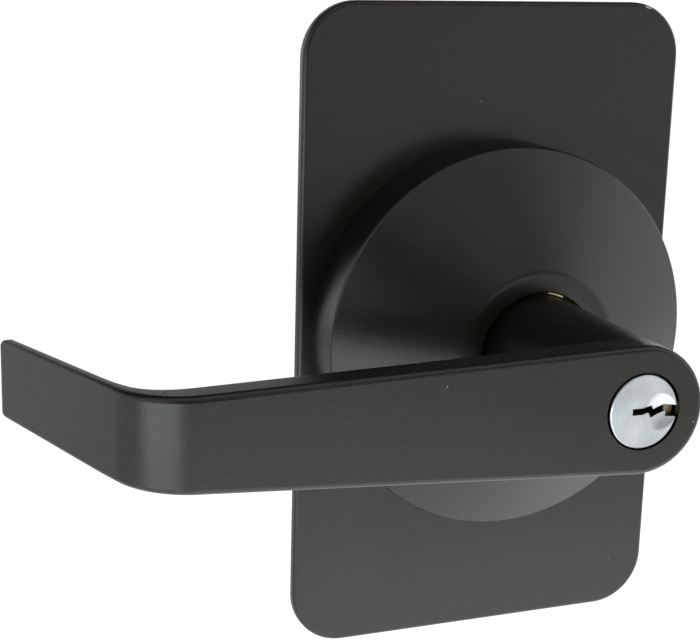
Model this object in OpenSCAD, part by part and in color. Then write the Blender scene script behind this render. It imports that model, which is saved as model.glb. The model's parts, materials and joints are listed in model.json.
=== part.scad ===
// Outside lever trim with a keyed lever, for a door.
// Drawn on a bench: x right, y up, z out of the door. stand() turns it to the door's frame,
// where x is right, y goes into the door, z is up, and the origin is on the lever's axis at the door face.

/* [Plate] */
// width of the plate, mm
plate_width = 95.25; // [92:0.25:120]
// height of the plate, mm
plate_height = 152.4; // [140:0.1:200]
// thickness of the plate, mm
plate_thickness = 2.5; // [2.3:0.1:3.5]
// radius of the plate's four corners, mm
plate_corner = 12.7; // [6:0.1:20]
// radius of the rounded front edge, mm
plate_edge = 1.0; // [0.4:0.1:1.6]

/* [Rose] */
// outer radius of the rose, mm
rose_radius = 44.75; // [43.5:0.05:46]
// straight wall of the rose above the plate, mm
rose_wall_height = 13.1; // [12.9:0.1:16]
// height of the cone above the straight wall, mm
rose_cone_height = 13.4; // [13:0.1:16]
// radius of the flat land at the top of the cone, mm
rose_land = 18.5; // [18.2:0.1:21]
// thickness of the rose's shell, mm
rose_shell = 1.6; // [1.2:0.1:1.8]
// radius of the rose's rim edge, mm
rose_rim = 1.0; // [0.5:0.1:1.4]

/* [Lever] */
// radius of the lever's neck, mm
neck_radius = 13.4; // [13.2:0.05:13.8]
// distance from the door face to the lever's front at the axis, mm
lever_projection = 73.8; // [73:0.1:90]
// distance from the axis to the outer corner of the bend, mm
lever_reach = 100.4; // [80:0.1:130]
// lean of the lever's front towards the door, degrees
lever_lean = 2.6; // [0:0.1:5]
// half the height of the bar near the bend, mm
bar_half_height = 9.5; // [8.5:0.1:12]
// half the height of the tip, mm
tip_half_height = 8.25; // [6:0.05:8.4]
// thickness of the bar, mm
bar_thickness = 7.0; // [6:0.1:9]
// thickness of the return at its tip, mm
tip_thickness = 2.9; // [2.4:0.1:5]
// outer radius of the bend, mm
bend_radius = 15.5; // [12:0.5:22]
// angle that the return turns through, degrees
bend_angle = 70; // [60:1:85]
// length of the return from the outer corner, mm
return_length = 57; // [45:0.1:60]
// radius of the lever's long edges, mm
lever_edge = 1.3; // [0.6:0.1:1.8]
// swing of the lever each way, degrees
lever_swing = 50; // [35:1:50]

/* [Key cylinder] */
// radius of the plug's face, mm
plug_face = 7.6; // [7:0.05:7.8]
// radius of the plug's body, mm
plug_radius = 5.2; // [5:0.05:5.4]
// number of pin stacks
pin_stacks = 5; // [4:1:5]
// distance between pin stacks, mm
pin_pitch = 3.9; // [3.6:0.1:4]
// radius of the pins, mm
pin_radius = 1.35; // [1.2:0.05:1.5]
// width of the key slot, mm
key_slot = 1.25; // [1:0.05:1.5]
// turn of the key, degrees
key_swing = 90; // [60:5:90]

/* [Back of the trim] */
// radius of the barrel that goes into the door, mm
barrel_radius = 26.4; // [26:0.1:27]
// length of the barrel behind the plate, mm
barrel_length = 19.8; // [19.5:0.1:26]
// distance between the mounting posts across, mm
post_spacing_x = 44.45; // [40:0.05:60]
// distance between the mounting posts up and down, mm
post_spacing_z = 114.3; // [106:0.1:120]
// outer radius of a mounting post, mm
post_radius = 5.0; // [4.5:0.1:6]
// length of a mounting post behind the plate, mm
post_length = 14; // [12:0.5:30]
// radius of the tapped hole in a post, mm
post_hole = 2.6; // [2.4:0.1:3.2]
// length of the tailpiece behind the plate, mm
tailpiece_length = 58; // [45:0.5:80]
// width of the tailpiece, mm
tailpiece_width = 9.5; // [8:0.1:10]
// thickness of the tailpiece, mm
tailpiece_thickness = 2.4; // [2:0.1:3]

/* [Fits] */
// radial clearance of a turning or sliding bearing, mm
run = 0.05; // [0.03:0.01:0.08]
// clearance between pieces that pass each other, mm
gap = 0.3; // [0.2:0.05:0.4]

/* [Hidden] */
$fn = 64;
tiny = 0.01;

// the plate's seats on the back
seat_depth = 0.6;
seat_fit = 0.05;
plate_hole = 15;

// the rose and what runs in it
rose_top = plate_thickness + rose_wall_height + rose_cone_height;
rose_rim_z = plate_thickness + rose_wall_height;
cone_angle = atan(rose_cone_height / (rose_radius - rose_land));
rose_inner = rose_radius - rose_shell;
rose_hole = neck_radius + 0.75;
land_under = rose_top - rose_shell;
bush_bore = neck_radius + run;
bush_flange = rose_hole + 2.6;
snap_wire = 0.6;
snap_z = plate_thickness + 4;

// the spring cage
cage_radius = rose_inner - 0.1;
cage_top = rose_rim_z - 1.3;
cage_roof = 1.6;
pocket_top = cage_top - cage_roof;
pocket_radius = cage_radius - 7.85;
cage_boss = 16;
boss_top = cage_top + 2.5;
cage_screw_ring = pocket_radius + 3.7;
screw_shank = 2.0;
screw_head = 3.9;
screw_fit = 0.05;

// the return springs
spring_wire = 0.7;
spring_coil = 3.5;
spring_ring = pocket_radius - 5.2;
spring_z = plate_thickness + (pocket_top - plate_thickness) / 2;
spring_turns = 9;
lug_half = 35;
lug_radius = spring_ring - 0.6;
stop_radius = spring_ring + 0.6;
rib_half = 90 - lug_half - lever_swing - 1;
rib_out = spring_ring - spring_coil - spring_wire - gap - 1.4;

// where the key cylinder ends in the lever, from the pins that it holds
first_pin_in = 3.2;
last_pin_in = 6.1;
shell_length = first_pin_in + (pin_stacks - 1) * pin_pitch + last_pin_in;
shell_front = lever_projection - 2.9;
shell_back = shell_front - shell_length;
plug_back = shell_back - 2;

// the spindle
spindle_radius = 11;
spindle_front = shell_back - gap;
spindle_bore = 8;
spindle_flat = 9.6;
spindle_back = -8.2;
flange_radius = plate_hole - 1;
flange_back = plate_thickness - 0.9;
flange_front = flange_back + 2.2;
driver_back = flange_front + 0.1;
driver_front = pocket_top - 0.6;
driver_hub = 19;
washer_back = boss_top + 0.1;
washer_front = washer_back + 0.9;
ring_front = washer_front + 1.2;
groove_depth = 0.8;
neck_back = ring_front + 1.3;

// the lever
lean_slope = tan(lever_lean);
bend_start = lever_reach - bend_radius * tan(bend_angle / 2);
leg_length = return_length - bend_radius * tan(bend_angle / 2);
head_edge = neck_radius + 0.06;
back_edge = 1.1;
tip_round = 1.8;
thin_out = 8;
front_hole = plug_face + 1.5 * gap;
cavity_back = spindle_front + 0.2;

// the key cylinder
shell_radius = 8.2;
bible_half = 3.6;
bible_out = 10.7;
plug_front = lever_projection + 0.2;
plug_bore = plug_radius + run;
shear_gap = 0.03;
first_pin = shell_front - first_pin_in;
cover_strip = 0.5;
pin_top = 8.0;
clip_back = shell_back - 1.0;
clip_front = shell_back - 0.2;
dimple_radius = 3.9;
dimple_x = 3.3;

// the clutch
slide_travel = 4;
cam_radius = 6;
cam_back = -2;
cam_front = 9;
cam_pin_radius = 0.8;
cam_pin_z = 3;
sleeve_bore = cam_radius + run * 2;
sleeve_radius = spindle_bore - run * 2;
sleeve_back = -7;
sleeve_front = cam_front - slide_travel - 0.1;
dog_half = 2.5;
dog_out = 10.6;
dog_back = -12.4;
dog_front = -4;
hub_front = -8.8;
hub_disc = 14;
hub_disc_back = -13.8;
hub_shoulder = 11;
hub_boss = 8;
cover_thickness = 2;
hub_back = -barrel_length - cover_thickness - 4.6;
pilot_radius = 3;
blade_half = 3;
blade_thickness = 1.6;
blade_back = 5.5;
score_count = 4;
score_pitch = 6.35;
score_size = 1.0;

// the barrel
barrel_inner = barrel_radius - 1.8;
spigot_radius = barrel_radius - 0.5;
spigot_length = 2.5;
column_ring = barrel_inner - 3.4;
column_radius = 3.6;
barrel_screw = 1.5;
barrel_screw_head = 2.9;
barrel_screw_grip = 7.5;
cover_screw_grip = 6;

// the catch that holds the lever
catch_z = rose_top + 0.48 * (spindle_front - rose_top);
catch_radius = 1.8;
catch_tip = 12.2;
catch_head = 2.7;
catch_travel = 2.2;

// Turns the bench drawing to the door's frame.
module stand() {
    rotate([90, 0, 0]) children();
}

// A round bar from z0 to z1.
module bar(r, z0, z1) {
    translate([0, 0, z0]) cylinder(r = r, h = z1 - z0);
}

// A ring from z0 to z1.
module ring(r_out, r_in, z0, z1) {
    difference() {
        bar(r_out, z0, z1);
        bar(r_in, z0 - 1, z1 + 1);
    }
}

// A sector of a ring, half degrees each side of the angle at.
module sector(r_out, r_in, at, half, z0, z1) {
    rotate([0, 0, at - half]) rotate_extrude(angle = 2 * half)
        translate([r_in, z0]) square([r_out - r_in, z1 - z0]);
}

// A round bar with two flats, top and bottom.
module double_d(r, flat, z0, z1) {
    intersection() {
        bar(r, z0, z1);
        translate([-r - 1, -flat, z0 - 1]) cube([2 * r + 2, 2 * flat, z1 - z0 + 2]);
    }
}

// A block given by its middle in x and y and by z0 and z1.
module block(x, y, z0, z1) {
    translate([-x / 2, -y / 2, z0]) cube([x, y, z1 - z0]);
}

// Copies its children round the axis.
module around(count, radius, first) {
    for (i = [0 : count - 1])
        rotate([0, 0, first + i * 360 / count]) translate([radius, 0, 0]) children();
}

// Copies its children to the four post places.
module at_posts() {
    for (sx = [-1, 1])
        for (sy = [-1, 1])
            translate([sx * post_spacing_x / 2, sy * post_spacing_z / 2, 0]) children();
}

// A flat-headed screw with its head's face at z = 0, going up.
module flat_screw(shank, head, length, socket) {
    difference() {
        union() {
            cylinder(r1 = head, r2 = shank, h = head - shank);
            cylinder(r = shank, h = length);
        }
        translate([0, 0, -tiny]) cylinder(r = socket, h = 1.1, $fn = 6);
    }
}

// The hole for such a screw.
module flat_screw_hole(shank, head, length) {
    translate([0, 0, -tiny]) cylinder(r1 = head + screw_fit + tiny, r2 = shank + screw_fit, h = head - shank + tiny);
    translate([0, 0, -tiny]) cylinder(r = shank + screw_fit, h = length);
}

// A tube along a list of points, with rings square to the given directions.
module wire(points, sides_a, sides_b, r, sides) {
    n = len(points);
    rings = [for (i = [0 : n - 1]) for (k = [0 : sides - 1])
        points[i] + r * cos(360 * k / sides) * sides_a[i] + r * sin(360 * k / sides) * sides_b[i]];
    walls = [for (i = [0 : n - 2]) for (k = [0 : sides - 1])
        let (m = (k + 1) % sides)
        [i * sides + k, i * sides + m, (i + 1) * sides + m, (i + 1) * sides + k]];
    first = [for (k = [0 : sides - 1]) sides - 1 - k];
    last = [for (k = [0 : sides - 1]) (n - 1) * sides + k];
    polyhedron(points = rings, faces = concat([first], walls, [last]), convexity = 8);
}

// A coil spring bent round the axis, from angle a0 to a1.
module arc_spring(a0, a1) {
    steps = spring_turns * 14;
    u = [for (i = [0 : steps]) i / steps];
    turn = [for (t = u) 360 * spring_turns * t];
    place = [for (t = u) a0 + (a1 - a0) * t];
    out = [for (i = [0 : steps])
        [cos(place[i]) * cos(turn[i]), sin(place[i]) * cos(turn[i]), sin(turn[i])]];
    along = [for (p = place) [-sin(p), cos(p), 0]];
    points = [for (i = [0 : steps])
        spring_ring * [cos(place[i]), sin(place[i]), 0] + spring_coil * out[i] + [0, 0, spring_z]];
    wire(points, out, along, spring_wire, 7);
}

// A straight coil spring along x from x0 to x1 at height z.
module pin_spring(x0, x1, z) {
    steps = 30;
    coil = pin_radius - 0.3;
    turn = [for (i = [0 : steps]) 360 * 3 * i / steps];
    out = [for (t = turn) [0, cos(t), sin(t)]];
    along = [for (t = turn) [1, 0, 0]];
    points = [for (i = [0 : steps]) [x0 + (x1 - x0) * i / steps, 0, z] + coil * out[i]];
    wire(points, along, out, 0.2, 4);
}

// The plate's slab with its rounded front edge, built from four corners, four sides and a middle.
module plate_profile() {
    difference() {
        square([plate_corner, plate_thickness]);
        translate([plate_corner - plate_edge, plate_thickness - plate_edge]) difference() {
            square(plate_edge + 1);
            circle(r = plate_edge);
        }
    }
}

module plate_slab() {
    half_x = plate_width / 2 - plate_corner;
    half_y = plate_height / 2 - plate_corner;
    translate([-half_x, -half_y, 0]) cube([2 * half_x, 2 * half_y, plate_thickness]);
    for (q = [0 : 3]) {
        cx = (q == 0 || q == 3) ? half_x : -half_x;
        cy = (q < 2) ? half_y : -half_y;
        translate([cx, cy, 0]) rotate([0, 0, 90 * q]) rotate_extrude(angle = 90) plate_profile();
    }
    translate([half_x, half_y, 0]) rotate([90, 0, 0]) linear_extrude(2 * half_y) plate_profile();
    translate([-half_x, -half_y, 0]) rotate([90, 0, 180]) linear_extrude(2 * half_y) plate_profile();
    translate([-half_x, half_y, 0]) rotate([90, 0, 90]) linear_extrude(2 * half_x) plate_profile();
    translate([half_x, -half_y, 0]) rotate([90, 0, -90]) linear_extrude(2 * half_x) plate_profile();
}

module mounting_plate() {
    color("#4a4845") stand() difference() {
        plate_slab();
        bar(plate_hole, -1, plate_thickness + 1);
        bar(spigot_radius + seat_fit, -1, seat_depth);
        at_posts() bar(post_radius + seat_fit, -1, seat_depth);
        around(4, cage_screw_ring, 45) flat_screw_hole(screw_shank, screw_head, plate_thickness + 1);
        around(3, column_ring, 90) translate([0, 0, plate_thickness]) mirror([0, 0, 1])
            flat_screw_hole(barrel_screw, barrel_screw_head, plate_thickness + 1);
    }
}

module mounting_posts() {
    color("#a8a89a") stand() at_posts() difference() {
        bar(post_radius, -post_length, seat_depth);
        bar(post_hole, -post_length - 1, -1.5);
    }
}

// The rose's half section: wall, rounded rim, cone and land, less the hollow.
module rose_section() {
    slope = tan(cone_angle);
    lift = rose_shell / cos(cone_angle);
    rim_r = rose_radius - rose_rim * tan((90 - cone_angle) / 2);
    difference() {
        polygon([
            [rose_hole, plate_thickness],
            [rose_radius, plate_thickness],
            [rose_radius, rose_rim_z],
            [rose_land, rose_top],
            [rose_hole, rose_top]
        ]);
        // the hollow
        polygon([
            [0, plate_thickness - 1],
            [rose_inner, plate_thickness - 1],
            [rose_inner, rose_rim_z - lift + (rose_radius - rose_inner) * slope],
            [rose_land - rose_shell * tan(cone_angle / 2), land_under],
            [0, land_under]
        ]);
        // the rim's rounding
        difference() {
            polygon([
                [rose_radius + 1, rose_rim_z + 1],
                [rose_radius + 1, rose_rim_z - rose_rim * tan((90 - cone_angle) / 2)],
                [rose_radius - rose_rim, rose_rim_z - rose_rim * tan((90 - cone_angle) / 2)],
                [rose_radius - rose_rim + rose_rim * sin(cone_angle),
                    rose_rim_z - rose_rim * tan((90 - cone_angle) / 2) + rose_rim * cos(cone_angle)],
                [rose_radius - rose_rim + 2 * rose_rim * sin(cone_angle),
                    rose_rim_z - rose_rim * tan((90 - cone_angle) / 2) + 2 * rose_rim * cos(cone_angle)]
            ]);
            translate([rose_radius - rose_rim, rose_rim_z - rose_rim * tan((90 - cone_angle) / 2)])
                circle(r = rose_rim);
        }
        // the groove for the snap ring
        translate([rose_inner - 0.15, snap_z]) circle(r = snap_wire + 0.03);
    }
}

module rose() {
    color("#4a4845") stand() rotate_extrude() rose_section();
}

module rose_bushing() {
    color("#b08d3c") stand() union() {
        ring(rose_hole - 0.02, bush_bore, land_under - 1.5, rose_top - 1.1);
        ring(bush_flange, bush_bore, land_under - 1.5, land_under);
    }
}

module rose_snap_ring() {
    color("#8c8f90") stand() rotate([0, 0, -70]) rotate_extrude(angle = 320)
        translate([rose_inner - 0.15, snap_z]) circle(r = snap_wire);
}

module spring_cage() {
    color("#9a9c9b") stand() difference() {
        union() {
            difference() {
                bar(cage_radius, plate_thickness, cage_top);
                bar(pocket_radius, plate_thickness - 1, pocket_top);
            }
            bar(cage_boss, pocket_top, boss_top);
            for (at = [0, 180])
                sector(pocket_radius + 0.5, stop_radius, at, lug_half, plate_thickness, pocket_top + 0.5);
            for (at = [90, 270])
                sector(rib_out, driver_hub + 0.7, at, rib_half, plate_thickness, pocket_top + 0.5);
        }
        bar(spindle_radius + run, 0, boss_top + 1);
        rotate_extrude() translate([rose_inner - 0.15, snap_z]) circle(r = snap_wire + 0.03);
        around(4, cage_screw_ring, 45) bar(screw_shank + screw_fit, 0, cage_top - 2);
    }
}

module cage_screws() {
    color("#8c8f90") stand() around(4, cage_screw_ring, 45)
        flat_screw(screw_shank, screw_head, cage_top - 3.2, 1.4);
}

module upper_return_spring() {
    color("#7c7f82") stand() arc_spring(lug_half + 1.9, 180 - lug_half - 1.9);
}

module lower_return_spring() {
    color("#7c7f82") stand() arc_spring(180 + lug_half + 1.9, 360 - lug_half - 1.9);
}

module chassis_barrel() {
    color("#9a9c9b") stand() difference() {
        union() {
            ring(barrel_radius, barrel_inner, -barrel_length, -spigot_length);
            ring(spigot_radius, barrel_inner, -spigot_length - 0.5, seat_depth);
            ring(barrel_inner + 0.5, spindle_radius + run, -4, -1.5);
            ring(barrel_inner + 0.5, hub_disc + run, hub_disc_back - 0.4, hub_front - 0.4);
            around(3, column_ring, 90) bar(column_radius, -barrel_length, seat_depth);
        }
        around(3, column_ring, 90) bar(barrel_screw + screw_fit, -barrel_screw_grip - 1, 2);
        around(3, column_ring, 90) bar(barrel_screw + screw_fit, -barrel_length - 1, -barrel_length + cover_screw_grip + 1);
    }
}

module barrel_screws() {
    color("#8c8f90") stand() around(3, column_ring, 90) translate([0, 0, plate_thickness]) mirror([0, 0, 1])
        flat_screw(barrel_screw, barrel_screw_head, plate_thickness + barrel_screw_grip, 1.1);
}

module chassis_cover() {
    color("#b7b2a0") stand() difference() {
        bar(barrel_radius - 0.4, -barrel_length - cover_thickness, -barrel_length);
        bar(hub_boss + run, -barrel_length - cover_thickness - 1, 0);
        around(3, column_ring, 90) translate([0, 0, -barrel_length - cover_thickness])
            flat_screw_hole(barrel_screw, barrel_screw_head, cover_thickness + 1);
    }
}

module cover_screws() {
    color("#8c8f90") stand() around(3, column_ring, 90) translate([0, 0, -barrel_length - cover_thickness])
        flat_screw(barrel_screw, barrel_screw_head, cover_thickness + cover_screw_grip, 1.1);
}

// The lever's outer skin. Each station is a rounded section; the head's round end turns about the axis,
// and the rest follows the front line along the bar, round the bend and down the return to the tip.
function front_edge(h, e) = [for (a = [0 : 18 : 90]) [h - e + e * sin(a), e - e * cos(a)]];
function rear_edge(h, t, e) = [for (a = [0 : 22.5 : 90]) [h - e + e * cos(a), t - e + e * sin(a)]];
function half_section(h, t, e, b) = concat(front_edge(h, e), rear_edge(h, t, b));

// Where the front line is, and which way it goes, at the length s from the axis.
function line_turn(s) = s < bend_start ? 0 : min(bend_angle, (s - bend_start) / bend_radius * 180 / PI);
function line_way(s) = lever_lean + line_turn(s);
function bend_out(a) = [
    bend_radius * (sin(lever_lean + a) - sin(lever_lean)),
    bend_radius * (cos(lever_lean) - cos(lever_lean + a))
];
function line_at(s) =
    let (straight = min(s, bend_start))
    let (leg = max(0, s - bend_start - bend_radius * bend_angle * PI / 180))
    let (arc = bend_out(line_turn(s)))
    [
        -straight * cos(lever_lean) - arc[0] - leg * cos(lever_lean + bend_angle),
        lever_projection - straight * sin(lever_lean) - arc[1] - leg * sin(lever_lean + bend_angle)
    ];
line_length = bend_start + bend_radius * bend_angle * PI / 180 + leg_length;

function mix(a, b, u) = a + (b - a) * min(1, max(0, u));
function bar_height(s) = s < bend_start
    ? mix(head_edge, bar_half_height, s / bend_start)
    : mix(bar_half_height, tip_half_height, (s - bend_start) / (line_length - bend_start));
function soft(u) = let (v = min(1, max(0, u))) v * v * (3 - 2 * v);
function bar_thick(s) =
    mix(bar_thickness, tip_thickness, soft((s - bend_start) / (bend_radius * bend_angle * PI / 180 + thin_out)));
function tip_loss(s) =
    let (over = max(0, s - (line_length - tip_round)))
    tip_round - sqrt(max(0, tip_round * tip_round - over * over));

function head_ring(a) =
    let (half = half_section(head_edge, bar_thickness, lever_edge, 0.05))
    let (upper = [for (p = half)
        [p[0] * cos(a), p[0] * sin(a), lever_projection + lean_slope * p[0] * cos(a) - p[1]]])
    let (lower = [for (i = [len(half) - 1 : -1 : 0]) [upper[i][0], -upper[i][1], upper[i][2]]])
    concat(upper, lower);

function bar_ring(s) =
    let (loss = tip_loss(s))
    let (t = bar_thick(s) - loss)
    let (half = half_section(bar_height(s) - loss, t, min(lever_edge, t / 3),
        min(t / 3, mix(0.05, back_edge, (s - neck_radius - 1) / 12))))
    let (at = line_at(s))
    let (way = line_way(s))
    let (upper = [for (p = half)
        [at[0] + (p[1] + loss / 2) * sin(way), p[0], at[1] - (p[1] + loss / 2) * cos(way)]])
    let (lower = [for (i = [len(half) - 1 : -1 : 0]) [upper[i][0], -upper[i][1], upper[i][2]]])
    concat(upper, lower);

module lever_skin() {
    head = [for (a = [3.75 : 7.5 : 86.25]) head_ring(a)];
    straight = [for (s = [0.6, 8, neck_radius + 1, neck_radius + 7, neck_radius + 13, 50, bend_start - 8])
        bar_ring(s)];
    bend = [for (i = [0 : 18]) bar_ring(bend_start + i / 18 * bend_radius * bend_angle * PI / 180)];
    leg_start = line_length - leg_length;
    leg = [for (u = [0.06, 0.12, 0.18, 0.4, 0.7]) bar_ring(leg_start + u * leg_length)];
    tip = [for (a = [0, 25, 45, 62, 76, 86]) bar_ring(line_length - tip_round + tip_round * sin(a))];
    rings = concat(head, straight, bend, leg, tip);
    n = len(rings);
    m = len(rings[0]);
    points = [for (r = rings) for (p = r) p];
    walls = [for (i = [0 : n - 2]) for (k = [0 : m - 1])
        let (l = (k + 1) % m)
        each [[i * m + k, (i + 1) * m + k, (i + 1) * m + l], [i * m + k, (i + 1) * m + l, i * m + l]]];
    half = m / 2;
    first = [for (k = [0 : half - 2])
        each [[k, k + 1, m - 2 - k], [k, m - 2 - k, m - 1 - k]]];
    last = [for (k = [0 : half - 2])
        each [[k, m - 2 - k, k + 1], [k, m - 1 - k, m - 2 - k]]];
    end = [for (f = last) [for (v = f) v + (n - 1) * m]];
    polyhedron(points = points, faces = concat(first, walls, end), convexity = 6);
}

module lever_handle() {
    color("#4a4845") stand() difference() {
        union() {
            lever_skin();
            bar(neck_radius, neck_back, lever_projection - bar_thickness + 3);
        }
        double_d(spindle_radius + run, spindle_flat + run, neck_back - 1, cavity_back);
        cylinder_form(0.05, cavity_back - 0.5, shell_front);
        bar(front_hole, shell_front - 0.5, lever_projection + 5);
        // the catch's seat and the small hole to press it through
        translate([0, 0, catch_z]) rotate([90, 0, 0]) cylinder(r = catch_radius + 0.1, h = catch_tip + 0.1);
        translate([0, 0, catch_z]) rotate([90, 0, 0]) cylinder(r = 1.0, h = neck_radius + 2);
    }
}

module spindle() {
    color("#b7a24a") stand() difference() {
        union() {
            double_d(spindle_radius, spindle_flat, flange_front - 0.5, spindle_front);
            bar(spindle_radius, spindle_back, flange_front);
            bar(spindle_radius, pocket_top - 0.2, ring_front + 0.6);
            bar(flange_radius, flange_back, flange_front);
        }
        bar(spindle_bore, spindle_back - 1, spindle_front + 1);
        ring(spindle_radius + 2, spindle_radius - groove_depth, washer_front, ring_front);
        ring(spindle_bore + groove_depth, spindle_bore - 1, cam_front + 0.2, cam_front + 1.2);
        block(2 * spindle_radius + 2, 2 * (dog_half + gap / 2), spindle_back - 1, dog_front + slide_travel + gap);
        translate([0, 0, catch_z]) rotate([90, 0, 0]) cylinder(r = catch_radius + run, h = spindle_radius + 1);
    }
}

// A wedge on the right, half degrees each side, wider than any ring it is cut with.
module wedge(half) {
    far = 2 * pocket_radius;
    polygon([[0, 0], [far * cos(half), -far * sin(half)], [far * cos(half), far * sin(half)]]);
}

module spring_driver() {
    color("#9a9c9b") stand() translate([0, 0, driver_back]) linear_extrude(driver_front - driver_back) difference() {
        union() {
            circle(r = driver_hub);
            for (at = [0, 180])
                intersection() {
                    circle(r = lug_radius);
                    rotate(at) wedge(lug_half);
                }
        }
        intersection() {
            circle(r = spindle_radius + run);
            square([4 * spindle_radius, 2 * (spindle_flat + run)], center = true);
        }
    }
}

module thrust_washer() {
    color("#c9c6b8") stand() ring(cage_boss - 1, spindle_radius + run, washer_back, washer_front);
}

module retaining_ring() {
    color("#6f7274") stand() difference() {
        ring(spindle_radius + 1.6, spindle_radius - groove_depth + 0.03, washer_front + 0.02, ring_front - 0.02);
        translate([spindle_radius, 0, 0]) block(8, 5, washer_front - 1, ring_front + 1);
    }
}

module cam_ring() {
    color("#6f7274") stand() difference() {
        ring(spindle_bore + groove_depth - 0.03, 4.6, cam_front + 0.22, cam_front + 1.18);
        translate([0, spindle_bore, 0]) block(4, 9, cam_front - 1, cam_front + 3);
    }
}

// The form of the cylinder's shell: a round barrel with the pin housing on its left.
module cylinder_form(more, z0, z1) {
    bar(shell_radius + more, z0, z1);
    translate([-bible_out - more, -bible_half - more, z0])
        cube([bible_out + more, 2 * (bible_half + more), z1 - z0]);
}

module at_pins() {
    for (i = [0 : pin_stacks - 1]) translate([0, 0, first_pin - i * pin_pitch]) children();
}

module cylinder_shell() {
    color("#b79a4c") stand() difference() {
        cylinder_form(0, shell_back, shell_front);
        bar(plug_bore, shell_back - 1, shell_front + 1);
        at_pins() rotate([0, -90, 0]) cylinder(r = pin_radius + 0.04, h = bible_out + 1);
        translate([-bible_out - 1, -pin_radius - 0.6, first_pin - (pin_stacks - 1) * pin_pitch - pin_radius - 0.8])
            cube([1 + cover_strip, 2 * pin_radius + 1.2, (pin_stacks - 1) * pin_pitch + 2 * pin_radius + 1.6]);
    }
}

module driver_pins() {
    color("#c2b280") stand() at_pins() difference() {
        translate([-plug_bore + 0.6, 0, 0]) rotate([0, -90, 0]) cylinder(r = pin_radius, h = pin_top - plug_bore + 0.6);
        bar(plug_bore + shear_gap, -3, 3);
    }
}

module pin_springs() {
    color("#7c7f82") stand() at_pins() pin_spring(-bible_out + cover_strip + 0.25, -pin_top - 0.25, 0);
}

module chamber_cover() {
    color("#b79a4c") stand()
        translate([-bible_out, -pin_radius - 0.55, first_pin - (pin_stacks - 1) * pin_pitch - pin_radius - 0.75])
            cube([cover_strip, 2 * pin_radius + 1.1, (pin_stacks - 1) * pin_pitch + 2 * pin_radius + 1.5]);
}

// A split ring of flat spring steel that pushes the catch outwards.
module catch_spring() {
    color("#7c7f82") stand() rotate([0, 0, 110]) rotate_extrude(angle = 320)
        translate([6.1, catch_z - 2]) square([0.55, 4]);
}

// The key slot: a thin blade slot on the left, a step, and a slanted wing up to the notch on the right.
module key_slot_section() {
    half = key_slot / 2;
    polygon([
        [-2.75, -half], [-0.4, -half - 0.05], [0.9, -half + 0.05], [1.65, -half - 1.1],
        [2.6, -half - 0.75], [4.9, -half + 0.3], [4.9, half + 0.2],
        [1.95, half - 0.55], [1.6, half + 0.2], [0, half - 0.05], [-2.75, half - 0.15]
    ]);
}

module key_plug() {
    color("#c9cdcc") stand() difference() {
        union() {
            bar(plug_radius, plug_back, shell_front + 0.5);
            bar(plug_face, shell_front + 0.05, plug_front - 0.2);
            translate([0, 0, plug_front - 0.2]) cylinder(r1 = plug_face, r2 = plug_face - 0.2, h = 0.2);
        }
        translate([0, 0, clip_front + 0.3]) linear_extrude(plug_front) key_slot_section();
        translate([4.4, -1.5, plug_front - 1.9]) cube([6, 2.4, 4]);
        translate([dimple_x, -0.3, plug_front + 6.0])
            sphere(r = sqrt(dimple_radius * dimple_radius + 36), $fn = 96);
        at_pins() rotate([0, -90, 0]) cylinder(r = pin_radius + 0.04, h = plug_radius + 1);
        ring(plug_radius + 1, plug_radius - 0.9, clip_back, clip_front);
        block(blade_thickness + 0.1, 2 * plug_radius + 1, plug_back - 1, plug_back + 0.9);
    }
}

// Pins of different lengths, cut to the plug's radius as on a fitted key.
module key_pins() {
    long = [0.2, 0.7, 0.0, 0.9, 0.4];
    color("#c2b280") stand() for (i = [0 : pin_stacks - 1]) translate([0, 0, first_pin - i * pin_pitch])
        intersection() {
            translate([-2.6 + long[i], 0, 0]) rotate([0, -90, 0]) union() {
                cylinder(r1 = 0.5, r2 = pin_radius, h = 0.8);
                translate([0, 0, 0.8]) cylinder(r = pin_radius, h = plug_radius);
            }
            bar(plug_radius - 0.01, -3, 3);
        }
}

module plug_clip() {
    color("#6f7274") stand() difference() {
        ring(plug_radius + 1.5, plug_radius - 0.87, clip_back + 0.02, clip_front - 0.02);
        translate([0, plug_radius, 0]) block(6, 6, clip_back - 1, clip_front + 1);
    }
}

module plug_tailpiece() {
    color("#b7b2a0") stand() block(blade_thickness, 2 * blade_half, blade_back, plug_back + 0.85);
}

module key_cam() {
    reach = cam_pin_radius + 0.2;
    grade = 90 / slide_travel;
    color("#9a9c9b") stand() difference() {
        bar(cam_radius, cam_back, cam_front);
        block(blade_thickness + 0.1, 2 * blade_half + 0.1, blade_back - 0.05, cam_front + 1);
        translate([0, 0, cam_pin_z - reach]) rotate([0, 0, grade * reach])
            linear_extrude(slide_travel + 2 * reach, twist = grade * (slide_travel + 2 * reach), slices = 14)
                polygon(concat(
                    [for (a = [-26 : 13 : 26]) 4.2 * [cos(a), sin(a)]],
                    [for (a = [26 : -13 : -26]) 6.6 * [cos(a), sin(a)]]
                ));
    }
}

module clutch_sleeve() {
    color("#a9a18c") stand() difference() {
        union() {
            bar(sleeve_radius, sleeve_back, sleeve_front);
            for (side = [-1, 1])
                translate([side > 0 ? sleeve_bore - 0.5 : -dog_out, -dog_half, dog_back])
                    cube([dog_out - sleeve_bore + 0.5, 2 * dog_half, dog_front - dog_back]);
        }
        bar(sleeve_bore, dog_back - 1, sleeve_front + 1);
        translate([0, 0, cam_pin_z]) rotate([0, 90, 0]) cylinder(r = cam_pin_radius, h = spindle_bore + 1);
    }
}

module cam_pin() {
    color("#6f7274") stand() translate([4.6, 0, cam_pin_z]) rotate([0, 90, 0])
        cylinder(r = cam_pin_radius, h = sleeve_radius - 0.1 - 4.6);
}

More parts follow.
